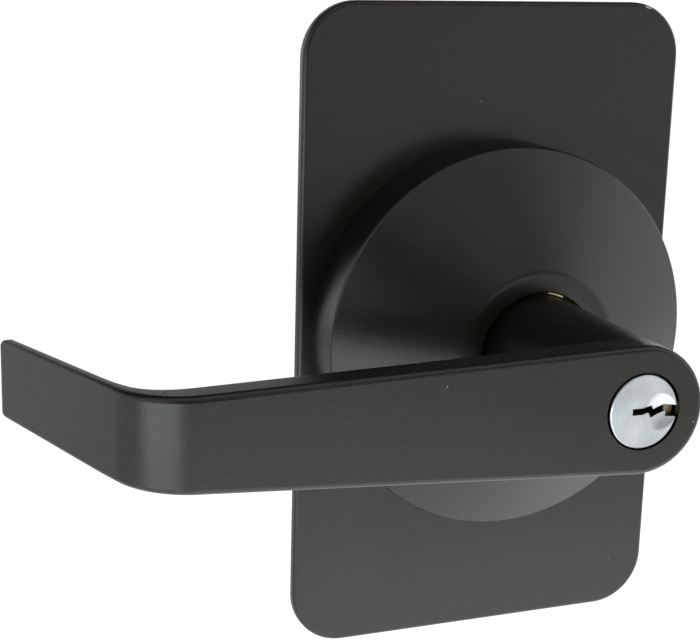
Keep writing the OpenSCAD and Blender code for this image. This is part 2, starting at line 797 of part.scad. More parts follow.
module tailpiece_hub() {
    color("#9a9c9b") stand() difference() {
        union() {
            bar(pilot_radius, hub_front - 0.5, cam_back - 0.1);
            bar(hub_disc, hub_disc_back, hub_front);
            bar(hub_shoulder, -barrel_length + 0.1, hub_disc_back + 0.5);
            bar(hub_boss, hub_back, -barrel_length + 0.5);
        }
        for (side = [-1, 1])
            translate([side > 0 ? sleeve_bore - 0.8 : -dog_out - gap, -dog_half - 0.15, dog_back - gap])
                cube([dog_out + gap - sleeve_bore + 0.8, 2 * dog_half + 0.3, 10]);
        block(tailpiece_thickness + 0.1, tailpiece_width + 0.1, hub_back - 1, hub_back + 9);
        translate([-hub_boss - 1, 0, hub_back + 2.2]) rotate([0, 90, 0]) cylinder(r = 1.02, h = 2 * hub_boss + 2);
    }
}

module tailpiece() {
    color("#b7b2a0") stand() difference() {
        union() {
            block(tailpiece_thickness, tailpiece_width, -tailpiece_length + 1, hub_back + 8.95);
            block(tailpiece_thickness, tailpiece_width - 2, -tailpiece_length, -tailpiece_length + 1.5);
        }
        translate([-5, 0, hub_back + 2.2]) rotate([0, 90, 0]) cylinder(r = 1.02, h = 10);
        // notches where the end snaps off to suit a thinner door
        for (i = [1 : score_count])
            for (side = [-1, 1])
                translate([0, side * tailpiece_width / 2, -tailpiece_length + i * score_pitch])
                    rotate([45, 0, 0]) cube([tailpiece_thickness + 1, score_size, score_size], center = true);
    }
}

module tailpiece_pin() {
    color("#6f7274") stand() translate([-hub_boss + 0.7, 0, hub_back + 2.2]) rotate([0, 90, 0])
        cylinder(r = 1.0, h = 2 * hub_boss - 1.4);
}

module lever_catch() {
    color("#8c8f90") stand() translate([0, 0, catch_z]) rotate([90, 0, 0]) union() {
        translate([0, 0, 6.7]) cylinder(r = catch_head, h = 0.75);
        translate([0, 0, 7]) cylinder(r = catch_radius, h = catch_tip - 7);
    }
}

mounting_plate();
mounting_posts();
rose();
rose_bushing();
rose_snap_ring();
spring_cage();
cage_screws();
upper_return_spring();
lower_return_spring();
chassis_barrel();
barrel_screws();
chassis_cover();
cover_screws();
lever_handle();
spindle();
spring_driver();
thrust_washer();
retaining_ring();
cam_ring();
cylinder_shell();
driver_pins();
pin_springs();
chamber_cover();
catch_spring();
key_plug();
key_pins();
plug_clip();
plug_tailpiece();
key_cam();
clutch_sleeve();
cam_pin();
tailpiece_hub();
tailpiece();
tailpiece_pin();
lever_catch();
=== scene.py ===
import json
from math import cos, pi, radians, sin, tan

import bpy
from bpy.props import FloatProperty, FloatVectorProperty, IntProperty, PointerProperty
from mathutils import Matrix, Vector


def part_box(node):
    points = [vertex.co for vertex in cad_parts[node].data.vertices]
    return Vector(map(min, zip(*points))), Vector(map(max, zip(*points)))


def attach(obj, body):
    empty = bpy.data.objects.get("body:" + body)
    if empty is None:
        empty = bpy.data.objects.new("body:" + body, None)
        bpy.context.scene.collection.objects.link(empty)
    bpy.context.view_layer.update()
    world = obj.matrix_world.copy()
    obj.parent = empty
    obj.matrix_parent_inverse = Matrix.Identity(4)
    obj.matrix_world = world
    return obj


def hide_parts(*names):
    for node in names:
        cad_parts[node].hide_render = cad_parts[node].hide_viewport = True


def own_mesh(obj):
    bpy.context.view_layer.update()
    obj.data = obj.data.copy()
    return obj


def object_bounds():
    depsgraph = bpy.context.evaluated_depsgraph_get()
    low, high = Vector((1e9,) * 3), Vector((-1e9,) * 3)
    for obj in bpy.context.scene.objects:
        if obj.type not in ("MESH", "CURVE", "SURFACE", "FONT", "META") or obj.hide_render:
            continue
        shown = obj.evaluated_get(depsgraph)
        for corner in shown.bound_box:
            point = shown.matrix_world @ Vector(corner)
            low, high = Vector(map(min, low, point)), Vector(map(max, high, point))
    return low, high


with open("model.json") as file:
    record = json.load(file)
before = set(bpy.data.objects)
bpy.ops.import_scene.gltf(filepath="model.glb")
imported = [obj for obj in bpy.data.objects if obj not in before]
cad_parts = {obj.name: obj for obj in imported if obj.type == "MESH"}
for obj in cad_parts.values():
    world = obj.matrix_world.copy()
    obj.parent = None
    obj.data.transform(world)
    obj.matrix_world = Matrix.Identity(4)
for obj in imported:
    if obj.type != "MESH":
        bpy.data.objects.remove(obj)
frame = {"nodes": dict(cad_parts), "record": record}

bl_info = {
    "name": "Door Lever Trim",
    "version": (1, 0, 0),
    "blender": (4, 5, 0),
    "location": "View3D > Sidebar > Lever Trim",
    "description": "Dresses the door lever trim: coated shells, keyed lever, inner works and stage",
    "category": "Object",
}

CAD_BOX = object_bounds()
FINISH = {}

# Which CAD pieces wear each finish. All lengths in this file are in metres.
WORN_BY = {
    "plate_coat": ("mounting_plate",),
    "casting": ("spring_cage", "chassis_barrel", "spring_driver", "key_cam", "tailpiece_hub"),
    "clear_zinc": (
        "mounting_posts", "chassis_cover", "thrust_washer", "plug_tailpiece", "tailpiece"),
    "yellow_zinc": ("spindle",),
    "brass": ("driver_pins", "chamber_cover", "key_pins"),
    # The bushing and the cylinder shell wear near-black bronze: painted shade for the gaps round
    # the lever's neck and the key plug.
    "painted_shade_bronze": ("rose_bushing", "cylinder_shell"),
    "wire": (
        "upper_return_spring", "lower_return_spring", "rose_snap_ring", "retaining_ring",
        "cam_ring", "pin_springs", "plug_clip"),
    "screw": (
        "cage_screws", "barrel_screws", "cover_screws", "clutch_sleeve", "cam_pin",
        "tailpiece_pin", "lever_catch"),
}

# Powder coat: how many of each mark a metre holds, and the colours of its marks.
PEEL = 620.0
MOTTLE = 38.0
SPECKS = 260.0
SPECKED_CELLS = 0.93
SPECK_COLOUR = (0.16, 0.16, 0.155)
COAT_IOR = 1.49
COAT_BUMP = 0.55
COAT_BUMP_HEIGHT = 0.0001

# The bare chip at the plate's upper right corner: its middle and its half size.
CHIP_PLACE = (0.0389, -0.0022, 0.0753)
CHIP_REACH = (0.0011, 0.0016, 0.0006)
CHIP_COLOUR = (0.42, 0.42, 0.40)

# Metals: patches a metre holds, height of the fine lines, and how ragged a mark's edge is.
PATCHES = 160.0
LINE_HEIGHT = 0.00003
RAGGED = 2400.0
RAGGED_SHARE = 0.9
POLISH_GAIN = 1.1

# A painted glint on the bushing: a thin bright arc in the gap round the lever's neck, which stands
# in for a highlight.
NECK_GLINT = {
    "point": (0.0043, -0.0279, 0.0132),
    "reach": (0.0027, 0.0014, 0.0014),
    "ring": 0.01392,
    "width": 0.00022,
    "glint_colour": (0.62, 0.57, 0.32),
}

# Joining a CAD piece's loose triangles, and the rounded edge of the rose's hole.
MERGE_REACH = 2e-6
HOLE_EDGE = 0.0003

# The key face: outlines are (x, z) corners seen from the front.
KEY_SLOT = (
    (-0.00265, -0.00055), (0.00095, -0.00052), (0.00140, -0.00044), (0.00210, -0.00163),
    (0.00560, -0.00033), (0.00560, 0.00098), (0.00505, 0.00105), (0.00267, 0.00004),
    (0.00213, 0.00096), (0.00066, 0.00084), (-0.00265, 0.00080),
)
KEY_NOTCH = ((0.0054, -0.00153), (0.0090, -0.00153), (0.0090, 0.00093), (0.0054, 0.00093))
SLOT_DEPTH = 0.0060
NOTCH_DEPTH = 0.0020
CUT_LEAD = 0.001
DIMPLE_CENTRE = (0.00355, -0.00025)
DIMPLE_REACH = 0.00385
DIMPLE_LIFT = 0.0060

# The plug's front is cut off by a block, and a new disc laps into what is left.
FACE_BLOCK = 0.03
FACE_CUT = 0.0024
FACE_LAP = 0.0002
FACE_EDGE = 0.0002
FACE_CLEAR = 0.00002
FACE_SIDES = 128

# How deep the plating goes on the key face, on its edge and in the dimple.
FACE_SKIN = 0.00003
EDGE_BAND = 0.0005
EDGE_PLATED = 0.0018
DIMPLE_PLATED = 0.0014
FACING_FRONT = -0.75

# Threads in the mounting posts.
POST_RADIUS = 0.005
THREAD_START = 0.002
THREAD_END_GAP = 0.0004
THREAD_SEAT = 0.0002
THREAD_SIDES = 48

# Soft boxes: place, point that it faces, width and height.
TRIM_CENTRE = (0.0, 0.0, 0.0)
FLOOR_BOX = ((0.22, -0.46, 0.36), (0.22, -0.46, 0.0), 0.4, 0.4)
LEFT_BOX = ((-0.45, -0.385, -0.13), (-0.1, -0.06, 0.0), 0.46, 0.22)
RIGHT_BOX = ((1.0, -0.35, 0.25), TRIM_CENTRE, 0.6, 0.6)
WHITE = (1.0, 1.0, 1.0)
LEFT_TINT = (0.93, 1.0, 1.03)

# Grey cards that stand or hang: name, place, point that it faces, width, height and grey.
STANDING_CARDS = (
    ("camera_card", (-0.21, -0.66, 0.20), TRIM_CENTRE, 0.52, 0.32, 0.06),
    ("front_card", (-0.05, -0.66, -0.02), TRIM_CENTRE, 0.38, 0.14, 0.06),
    ("right_card", (0.32, -0.66, 0.29), TRIM_CENTRE, 0.42, 0.28, 0.04),
    ("high_card", (-0.063, -0.725, 0.53), TRIM_CENTRE, 1.26, 0.98, 0.56),
    ("wall_card", (0.25, 1.2, 0.38), (0.25, 0.0, 0.38), 1.2, 0.5, 0.42),
    ("roof_card", (0.0, 0.38, 0.48), (0.0, 0.38, 0.0), 1.6, 0.94, 0.06),
)

# Grey cards that lie over the floor: name, x, y, width, length and grey.
LYING_CARDS = (
    ("back_card", -0.25, 0.60, 1.5, 1.0, 0.70),
    ("far_card", -0.50, 1.60, 1.6, 1.0, 0.34),
    ("left_card", -0.90, -0.86, 0.9, 0.9, 0.45),
    ("side_card", 0.80, -1.10, 1.0, 0.8, 0.50),
)
CARD_LIFT = 0.02
CARD_UP = 1.0

# The floor, and the camera: its place and its directions.
FLOOR_SIZE = 8.0
FLOOR_GREY = 0.92
FLOOR_ROUGHNESS = 0.9
SENSOR_WIDTH = 36.0
NEAR_LIMIT = 0.01
CAMERA_PLACE = (-0.166521, -0.334651, 0.093273)
CAMERA_RIGHT = (0.93195, -0.36162, 0.02633)
CAMERA_UP = (0.0641, 0.2358, 0.96969)
CAMERA_AHEAD = (0.35687, 0.90201, -0.24293)


# Settings that a user would change.


class TrimFinish(bpy.types.PropertyGroup):
    """Colours and grain of the trim's finishes"""

    coat_colour: FloatVectorProperty(
        name="Coat Colour", description="Dark bronze of the powder coat",
        subtype="COLOR", size=3, min=0, max=1, default=(0.0026, 0.0022, 0.0014),
    )
    coat_grain: FloatProperty(
        name="Coat Grain", description="Grains of the coat per metre",
        default=3400.0, min=200.0, max=8000.0,
    )
    coat_roughness: FloatProperty(
        name="Coat Roughness", description="How dull the coat is",
        subtype="FACTOR", default=0.27, min=0.05, max=1.0,
    )
    nickel_colour: FloatVectorProperty(
        name="Nickel Colour", description="Satin nickel of the key face",
        subtype="COLOR", size=3, min=0, max=1, default=(0.518, 0.558, 0.582),
    )
    brass_colour: FloatVectorProperty(
        name="Brass Colour", description="Plain brass of the pins and their cover strip",
        subtype="COLOR", size=3, min=0, max=1, default=(0.62, 0.42, 0.12),
    )
    zinc_colour: FloatVectorProperty(
        name="Zinc Colour", description="Plain die cast zinc",
        subtype="COLOR", size=3, min=0, max=1, default=(0.42, 0.43, 0.44),
    )


class TrimShape(bpy.types.PropertyGroup):
    """Sizes of the pieces that are modelled here; the rest come from the CAD pieces"""

    land_radius: FloatProperty(
        name="Land Radius", description="Flat land at the top of the rose's cone",
        subtype="DISTANCE", unit="LENGTH", default=0.0185, min=0.015, max=0.03,
    )
    land_soft: FloatProperty(
        name="Land Rounding", description="Radius that softens the land's edge",
        subtype="DISTANCE", unit="LENGTH", default=0.004, min=0.001, max=0.02,
    )
    wall_height: FloatProperty(
        name="Wall Height", description="Straight wall of the rose above the plate",
        subtype="DISTANCE", unit="LENGTH", default=0.0131, min=0.005, max=0.02,
    )
    rim_radius: FloatProperty(
        name="Rim Radius", description="Rounding of the rose's rim",
        subtype="DISTANCE", unit="LENGTH", default=0.001, min=0.0002, max=0.003,
    )
    rose_hole: FloatProperty(
        name="Rose Hole", description="Radius of the rose's hole",
        subtype="DISTANCE", unit="LENGTH", default=0.01415, min=0.01, max=0.02,
    )
    rose_shell: FloatProperty(
        name="Rose Shell", description="Thickness of the rose's shell",
        subtype="DISTANCE", unit="LENGTH", default=0.0016, min=0.0008, max=0.003,
    )
    sides: IntProperty(
        name="Sides", description="Sides of the turned rose", default=192, min=24, max=360,
    )
    thread_pitch: FloatProperty(
        name="Thread Pitch", description="Pitch of the thread in a mounting post",
        subtype="DISTANCE", unit="LENGTH", default=0.001, min=0.0004, max=0.002,
    )
    thread_depth: FloatProperty(
        name="Thread Depth", description="Depth of the thread in a mounting post",
        subtype="DISTANCE", unit="LENGTH", default=0.0003, min=0.0001, max=0.001,
    )


class TrimStage(bpy.types.PropertyGroup):
    """Camera, floor and studio light"""

    lens: FloatProperty(
        name="Lens", description="Focal length on a 36 mm wide sensor, in mm",
        default=82.107, min=20.0, max=200.0,
    )
    floor_drop: FloatProperty(
        name="Floor Drop", description="How far the floor lies under the trim",
        subtype="DISTANCE", unit="LENGTH", default=0.26, min=0.0, max=2.0,
    )
    world_light: FloatProperty(
        name="World Light", description="Strength of the even light all round",
        default=0.90, min=0.0, max=2.0,
    )
    floor_lift: FloatProperty(
        name="Floor Lift", description="How much paler the floor looks than its light makes it",
        default=0.19, min=0.0, max=1.0,
    )
    floor_light: FloatProperty(
        name="Floor Light", description="Power of the soft box over the floor in front",
        subtype="POWER", unit="POWER", default=8.0, min=0.0, max=200.0,
    )
    left_light: FloatProperty(
        name="Left Light", description="Power of the soft box low on the left",
        subtype="POWER", unit="POWER", default=0.96, min=0.0, max=200.0,
    )
    right_light: FloatProperty(
        name="Right Light", description="Power of the weak soft box on the right",
        subtype="POWER", unit="POWER", default=0.34, min=0.0, max=200.0,
    )


# Materials.


def new_group(name, inputs, outputs):
    """An empty shader node group with the given sockets, and its input and output nodes."""
    group = bpy.data.node_groups.new(name, "ShaderNodeTree")
    for label, kind, value in inputs:
        socket = group.interface.new_socket(label, in_out="INPUT", socket_type=kind)
        if value is not None:
            socket.default_value = value
    for label, kind in outputs:
        group.interface.new_socket(label, in_out="OUTPUT", socket_type=kind)
    enter = group.nodes.new("NodeGroupInput")
    leave = group.nodes.new("NodeGroupOutput")
    return group, enter, leave


def math_node(tree, operation, a, b=None):
    """A Math node's value; a and b are sockets or numbers."""
    node = tree.nodes.new("ShaderNodeMath")
    node.operation = operation
    for i, value in enumerate((a, b)):
        if value is None:
            continue
        if isinstance(value, (int, float)):
            node.inputs[i].default_value = value
        else:
            tree.links.new(value, node.inputs[i])
    return node.outputs[0]


def vector_math(tree, operation, a, b=None):
    """A Vector Math node's result; a is a socket, and b is a socket or three numbers."""
    node = tree.nodes.new("ShaderNodeVectorMath")
    node.operation = operation
    tree.links.new(a, node.inputs[0])
    if isinstance(b, tuple):
        node.inputs[1].default_value = b
    elif b is not None:
        tree.links.new(b, node.inputs[1])
    return node.outputs["Value" if operation == "LENGTH" else "Vector"]


def noise(tree, vector, scale, detail=2.0, rough=0.5):
    """A Noise texture's value; scale is a socket or a number."""
    node = tree.nodes.new("ShaderNodeTexNoise")
    node.inputs["Detail"].default_value = detail
    node.inputs["Roughness"].default_value = rough
    if isinstance(scale, (int, float)):
        node.inputs["Scale"].default_value = scale
    else:
        tree.links.new(scale, node.inputs["Scale"])
    tree.links.new(vector, node.inputs["Vector"])
    return node.outputs["Fac"]


def spread(tree, value, low, high, to_low=0.0, to_high=1.0):
    """Maps a value from low..high to to_low..to_high, clamped."""
    node = tree.nodes.new("ShaderNodeMapRange")
    node.clamp = True
    tree.links.new(value, node.inputs["Value"])
    ends = (("From Min", low), ("From Max", high), ("To Min", to_low), ("To Max", to_high))
    for label, number in ends:
        node.inputs[label].default_value = number
    return node.outputs["Result"]


def mix_colour(tree, factor, a, b):
    """A colour mix; the factor is a socket, and a and b are sockets or colours."""
    node = tree.nodes.new("ShaderNodeMix")
    node.data_type = "RGBA"
    tree.links.new(factor, node.inputs[0])
    colour_inputs = [s for s in node.inputs if s.type == "RGBA"]
    for socket, value in zip(colour_inputs, (a, b)):
        if isinstance(value, tuple):
            socket.default_value = (*value, 1.0)
        else:
            tree.links.new(value, socket)
    return [s for s in node.outputs if s.type == "RGBA"][0]


def coat_grain_group():
    """Powder coat: fine grain, slow mottling and sparse pale specks."""
    group, enter, leave = new_group(
        "Coat Grain",
        [("Vector", "NodeSocketVector", None), ("Grain", "NodeSocketFloat", 2600.0),
         ("Speck Size", "NodeSocketFloat", SPECKS)],
        [("Height", "NodeSocketFloat"), ("Mottle", "NodeSocketFloat"),
         ("Speck", "NodeSocketFloat")],
    )
    vector = enter.outputs["Vector"]
    grain = noise(group, vector, enter.outputs["Grain"], 2.0, 0.55)
    peel = noise(group, vector, PEEL, 1.0)
    height = math_node(
        group, "ADD", math_node(group, "MULTIPLY", grain, 0.65),
        math_node(group, "MULTIPLY", peel, 0.35))
    mottle = noise(group, vector, MOTTLE, 3.0, 0.6)
    cells = group.nodes.new("ShaderNodeTexVoronoi")
    group.links.new(vector, cells.inputs["Vector"])
    group.links.new(enter.outputs["Speck Size"], cells.inputs["Scale"])
    split = group.nodes.new("ShaderNodeSeparateColor")
    group.links.new(cells.outputs["Color"], split.inputs["Color"])
    chosen = math_node(group, "GREATER_THAN", split.outputs[0], SPECKED_CELLS)
    near = spread(group, cells.outputs["Distance"], 0.02, 0.05, 1.0, 0.0)
    speck = math_node(group, "MULTIPLY", chosen, near)
    for label, socket in (("Height", height), ("Mottle", mottle), ("Speck", speck)):
        group.links.new(socket, leave.inputs[label])
    return group


def metal_lines_group():
    """Brushed or drawn metal: fine lines along one direction and soft patches."""
    group, enter, leave = new_group(
        "Metal Lines",
        [("Vector", "NodeSocketVector", None), ("Stretch", "NodeSocketVector", (1.0, 1.0, 1.0)),
         ("Fineness", "NodeSocketFloat", 3000.0)],
        [("Lines", "NodeSocketFloat"), ("Patches", "NodeSocketFloat")],
    )
    vector = enter.outputs["Vector"]
    stretched = vector_math(group, "MULTIPLY", vector, enter.outputs["Stretch"])
    lines = noise(group, stretched, enter.outputs["Fineness"], 3.0, 0.6)
    patches = noise(group, vector, PATCHES, 3.0, 0.6)
    group.links.new(lines, leave.inputs["Lines"])
    group.links.new(patches, leave.inputs["Patches"])
    return group


def new_material(name):
    """A node material, its tree and its Principled shader."""
    material = bpy.data.materials.new(name)
    material.use_nodes = True
    tree = material.node_tree
    return material, tree, tree.nodes["Principled BSDF"]


def object_place(tree):
    """The Object coordinates in a material."""
    return tree.nodes.new("ShaderNodeTexCoord").outputs["Object"]


def place_group(tree, group, vector, **values):
    """Puts a group into a material, fed with the vector and plain values."""
    node = tree.nodes.new("ShaderNodeGroup")
    node.node_tree = group
    tree.links.new(vector, node.inputs["Vector"])
    for label, value in values.items():
        node.inputs[label].default_value = value
    return node


def add_bump(tree, shader, height, strength, distance):
    """Bump from a height socket into the shader's normal."""
    bump = tree.nodes.new("ShaderNodeBump")
    bump.inputs["Strength"].default_value = strength
    bump.inputs["Distance"].default_value = distance
    tree.links.new(height, bump.inputs["Height"])
    tree.links.new(bump.outputs["Normal"], shader.inputs["Normal"])


def near_point(tree, place, point, reach):
    """A mask with a ragged edge round a point; reach is its half size along each axis."""
    away = vector_math(tree, "SUBTRACT", place, point)
    length = vector_math(tree, "LENGTH", vector_math(tree, "DIVIDE", away, reach))
    ragged = math_node(tree, "MULTIPLY", noise(tree, place, RAGGED), RAGGED_SHARE)
    return spread(tree, math_node(tree, "ADD", length, ragged), 1.15, 1.35, 1.0, 0.0)


def along_ring(tree, place, radius, width):
    """A soft mask along a circle about the lever's axis."""
    out = vector_math(tree, "LENGTH", vector_math(tree, "MULTIPLY", place, (1.0, 0.0, 1.0)))
    off = math_node(tree, "ABSOLUTE", math_node(tree, "SUBTRACT", out, radius))
    return spread(tree, off, width * 0.5, width, 1.0, 0.0)


def dark_bronze_coat(groups, finish, name, chips=()):
    """Satin dark bronze powder coat, with bare chips where they are given."""
    material, tree, shader = new_material(name)
    place = object_place(tree)
    coat = place_group(tree, groups["coat"], place, Grain=finish.coat_grain)
    mottle = coat.outputs["Mottle"]
    dark = tuple(c * 0.84 for c in finish.coat_colour)
    light = tuple(c * 1.20 for c in finish.coat_colour)
    tone = mix_colour(tree, spread(tree, mottle, 0.3, 0.7), dark, light)
    tone = mix_colour(tree, coat.outputs["Speck"], tone, SPECK_COLOUR)
    smoothest, dullest = finish.coat_roughness - 0.03, finish.coat_roughness + 0.04
    rough = spread(tree, mottle, 0.3, 0.7, smoothest, dullest)
    for point, reach in chips:
        bare = near_point(tree, place, point, reach)
        tone = mix_colour(tree, bare, tone, CHIP_COLOUR)
        tree.links.new(bare, shader.inputs["Metallic"])
    tree.links.new(tone, shader.inputs["Base Color"])
    tree.links.new(rough, shader.inputs["Roughness"])
    shader.inputs["IOR"].default_value = COAT_IOR
    add_bump(tree, shader, coat.outputs["Height"], COAT_BUMP, COAT_BUMP_HEIGHT)
    return material


def bare_metal(name, groups, colour, rough, fineness, bump, stretch=(1.0, 1.0, 1.0),
               painted_glint=None, metal=1.0, swing=0.07):
    """Bare or plated metal with fine lines and patches, and a painted glint, a bright arc that
    stands in for a highlight, where it is given. The roughness swings about its middle value."""
    material, tree, shader = new_material(name)
    place = object_place(tree)
    marks = place_group(tree, groups["lines"], place, Stretch=stretch, Fineness=fineness)
    lines = marks.outputs["Lines"]
    dull = tuple(c * 0.82 for c in colour)
    bright = tuple(min(1.0, c * 1.08) for c in colour)
    tone = mix_colour(tree, spread(tree, marks.outputs["Patches"], 0.3, 0.7), dull, bright)
    # Painted highlight: the glint colour is mixed into the base colour along a thin arc.
    if painted_glint is not None:
        glint_mask = math_node(
            tree, "MULTIPLY", near_point(tree, place, painted_glint["point"], painted_glint["reach"]),
            along_ring(tree, place, painted_glint["ring"], painted_glint["width"]))
        tone = mix_colour(tree, glint_mask, tone, painted_glint["glint_colour"])
    tree.links.new(tone, shader.inputs["Base Color"])
    dullness = spread(tree, lines, 0.25, 0.75, rough - swing, rough + swing)
    tree.links.new(dullness, shader.inputs["Roughness"])
    shader.inputs["Metallic"].default_value = metal
    add_bump(tree, shader, lines, bump, LINE_HEIGHT)
    return material


def make_materials(finish):
    """Every finish of the trim, by name. A metal is given its colour, roughness, lines per metre
    and bump."""
    groups = {"coat": coat_grain_group(), "lines": metal_lines_group()}
    nickel = tuple(finish.nickel_colour)
    polished = tuple(c * POLISH_GAIN for c in nickel)
    brass = tuple(finish.brass_colour)
    zinc = tuple(finish.zinc_colour)
    return {
        "coat": dark_bronze_coat(groups, finish, "dark_bronze_coat"),
        "plate_coat": dark_bronze_coat(
            groups, finish, "dark_bronze_plate_coat", [(CHIP_PLACE, CHIP_REACH)]),
        "nickel": bare_metal(
            "satin_nickel", groups, nickel, 0.30, 5200.0, 0.02,
            stretch=(0.25, 1.0, 1.0), swing=0.02),
        "polish": bare_metal("polished_nickel", groups, polished, 0.42, 5200.0, 0.02),
        "dull_brass": bare_metal("dull_brass", groups, (0.30, 0.25, 0.15), 0.36, 2600.0, 0.10),
        # Near-black bronze: painted shade in the gaps round the neck and the plug.
        "painted_shade_bronze": bare_metal(
            "painted_shade_bronze", groups, (0.012, 0.009, 0.004), 0.34, 2600.0, 0.10, painted_glint=NECK_GLINT),
        "brass": bare_metal("plain_brass", groups, brass, 0.28, 2600.0, 0.10),
        "casting": bare_metal("zinc_casting", groups, zinc, 0.46, 900.0, 0.30, metal=0.7),
        "clear_zinc": bare_metal(
            "clear_zinc_steel", groups, (0.58, 0.58, 0.55), 0.30, 1400.0, 0.10, metal=0.85),
        "yellow_zinc": bare_metal(
            "yellow_zinc_steel", groups, (0.55, 0.42, 0.14), 0.30, 1400.0, 0.10),
        "wire": bare_metal("spring_wire", groups, (0.34, 0.35, 0.37), 0.30, 3000.0, 0.06),
        "screw": bare_metal("screw_steel", groups, (0.48, 0.49, 0.50), 0.32, 1800.0, 0.08),
    }


def wear(node, material):
    """Gives a CAD piece a finish."""
    mesh = frame["nodes"][node].data
    mesh.materials.clear()
    mesh.materials.append(material)


# Ways of modelling that more than one piece uses.


def deselect():
    """Nothing selected, in object mode."""
    if bpy.context.object and bpy.context.object.mode != "OBJECT":
        bpy.ops.object.mode_set(mode="OBJECT")
    bpy.ops.object.select_all(action="DESELECT")


def make_active(piece):
    """Only this piece selected, and active."""
    deselect()
    bpy.context.view_layer.objects.active = piece
    piece.select_set(True)


def hand_over(piece, name, body, material=None, nodes=()):
    """Names a finished piece, and says what it rides on, wears and stands for."""
    piece.name = name
    piece.data.name = name
    if material is not None:
        piece.data.materials.clear()
        piece.data.materials.append(material)
    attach(piece, body)
    if nodes:
        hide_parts(*nodes)


def merged_copy(node, smooth):
    """A copy of a CAD piece with its loose triangles joined and its round faces smooth."""
    source = frame["nodes"][node]
    copy = bpy.data.objects.new(node + "_shape", source.data.copy())
    bpy.context.collection.objects.link(copy)
    make_active(copy)
    bpy.ops.object.mode_set(mode="EDIT")
    bpy.ops.mesh.select_all(action="SELECT")
    bpy.ops.mesh.customdata_custom_splitnormals_clear()
    bpy.ops.mesh.remove_doubles(threshold=MERGE_REACH)
    bpy.ops.object.mode_set(mode="OBJECT")
    bpy.ops.object.shade_smooth_by_angle(angle=radians(smooth))
    return copy


def close_outward():
    """In edit mode: turns every face outwards and leaves edit mode."""
    bpy.ops.mesh.select_all(action="SELECT")
    bpy.ops.mesh.normals_make_consistent(inside=False)
    bpy.ops.object.mode_set(mode="OBJECT")


def turned(profile, sides, smooth):
    """A piece turned about the lever's axis: a ring at the first place of the profile, extruded
    to each further place and joined to itself. Places are (radius, y)."""
    deselect()
    radius, y = profile[0]
    bpy.ops.mesh.primitive_circle_add(
        vertices=sides, radius=radius, fill_type="NOTHING", location=(0, y, 0),
        rotation=(pi / 2, 0, 0))
    piece = bpy.context.object
    bpy.ops.object.transform_apply(location=True, rotation=True, scale=True)
    bpy.ops.object.mode_set(mode="EDIT")
    bpy.ops.mesh.select_all(action="SELECT")
    for next_radius, next_y in profile[1:]:
        bpy.ops.mesh.extrude_region_move(TRANSFORM_OT_translate={"value": (0, next_y - y, 0)})
        grow = next_radius / radius
        bpy.ops.transform.resize(value=(grow, 1, grow), center_override=(0, next_y, 0))
        radius, y = next_radius, next_y
    bpy.ops.mesh.select_all(action="DESELECT")
    bpy.ops.mesh.select_mode(type="EDGE")
    bpy.ops.mesh.select_non_manifold()
    bpy.ops.mesh.bridge_edge_loops()
    bpy.ops.mesh.select_mode(type="VERT")
    close_outward()
    bpy.ops.object.shade_smooth_by_angle(angle=radians(smooth))
    return piece


def arc(centre, radius, start, end, steps):
    """Places on an arc, in degrees, as (radius, y) pairs."""
    angles = [radians(start + (end - start) * i / steps) for i in range(steps + 1)]
    return [(centre[0] + radius * cos(a), centre[1] + radius * sin(a)) for a in angles]


def slab(outline, near, far):
    """A flat shape with the given (x, z) corners, drawn out along y from near to far."""
    deselect()
    bpy.ops.mesh.primitive_circle_add(vertices=len(outline), radius=0.01, fill_type="NGON")
    piece = bpy.context.object
    for vertex, (x, z) in zip(piece.data.vertices, outline):
        vertex.co = (x, near, z)
    bpy.ops.object.mode_set(mode="EDIT")
    bpy.ops.mesh.select_all(action="SELECT")
    bpy.ops.mesh.extrude_region_move(TRANSFORM_OT_translate={"value": (0, far - near, 0)})
    close_outward()
    return piece


def disc(radius, edge, near, far):
    """A disc from near to far along y, with a chamfer round its near face."""
    deselect()
    bpy.ops.mesh.primitive_circle_add(
        vertices=FACE_SIDES, radius=radius, fill_type="NGON", location=(0, far, 0),
        rotation=(pi / 2, 0, 0))
    piece = bpy.context.object
    bpy.ops.object.transform_apply(location=True, rotation=True, scale=True)
    bpy.ops.object.mode_set(mode="EDIT")
    bpy.ops.mesh.select_all(action="SELECT")
    bpy.ops.mesh.extrude_region_move(
        TRANSFORM_OT_translate={"value": (0, near + edge - far, 0)})
    bpy.ops.mesh.extrude_region_move(TRANSFORM_OT_translate={"value": (0, -edge, 0)})
    narrow = (radius - edge) / radius
    bpy.ops.transform.resize(value=(narrow, 1, narrow), center_override=(0, near, 0))
    close_outward()
    return piece


def shape_with(piece, tool, operation):
    """Joins the tool to the piece or cuts it out of the piece, and drops the tool."""
    step = piece.modifiers.new("step", "BOOLEAN")
    step.operation = operation
    step.solver = "EXACT"
    step.object = tool
    make_active(piece)
    bpy.ops.object.modifier_apply(modifier=step.name)
    bpy.data.objects.remove(tool, do_unlink=True)


# The pieces.


class TRIM_OT_finishes(bpy.types.Operator):
    """Make the finishes and put them on the CAD pieces that keep their own shape"""

    bl_idname = "trim.finishes"
    bl_label = "Finishes"

    def execute(self, context):
        FINISH.update(make_materials(context.scene.trim_finish))
        for key, names in WORN_BY.items():
            for name in names:
                wear(name, FINISH[key])
        return {"FINISHED"}


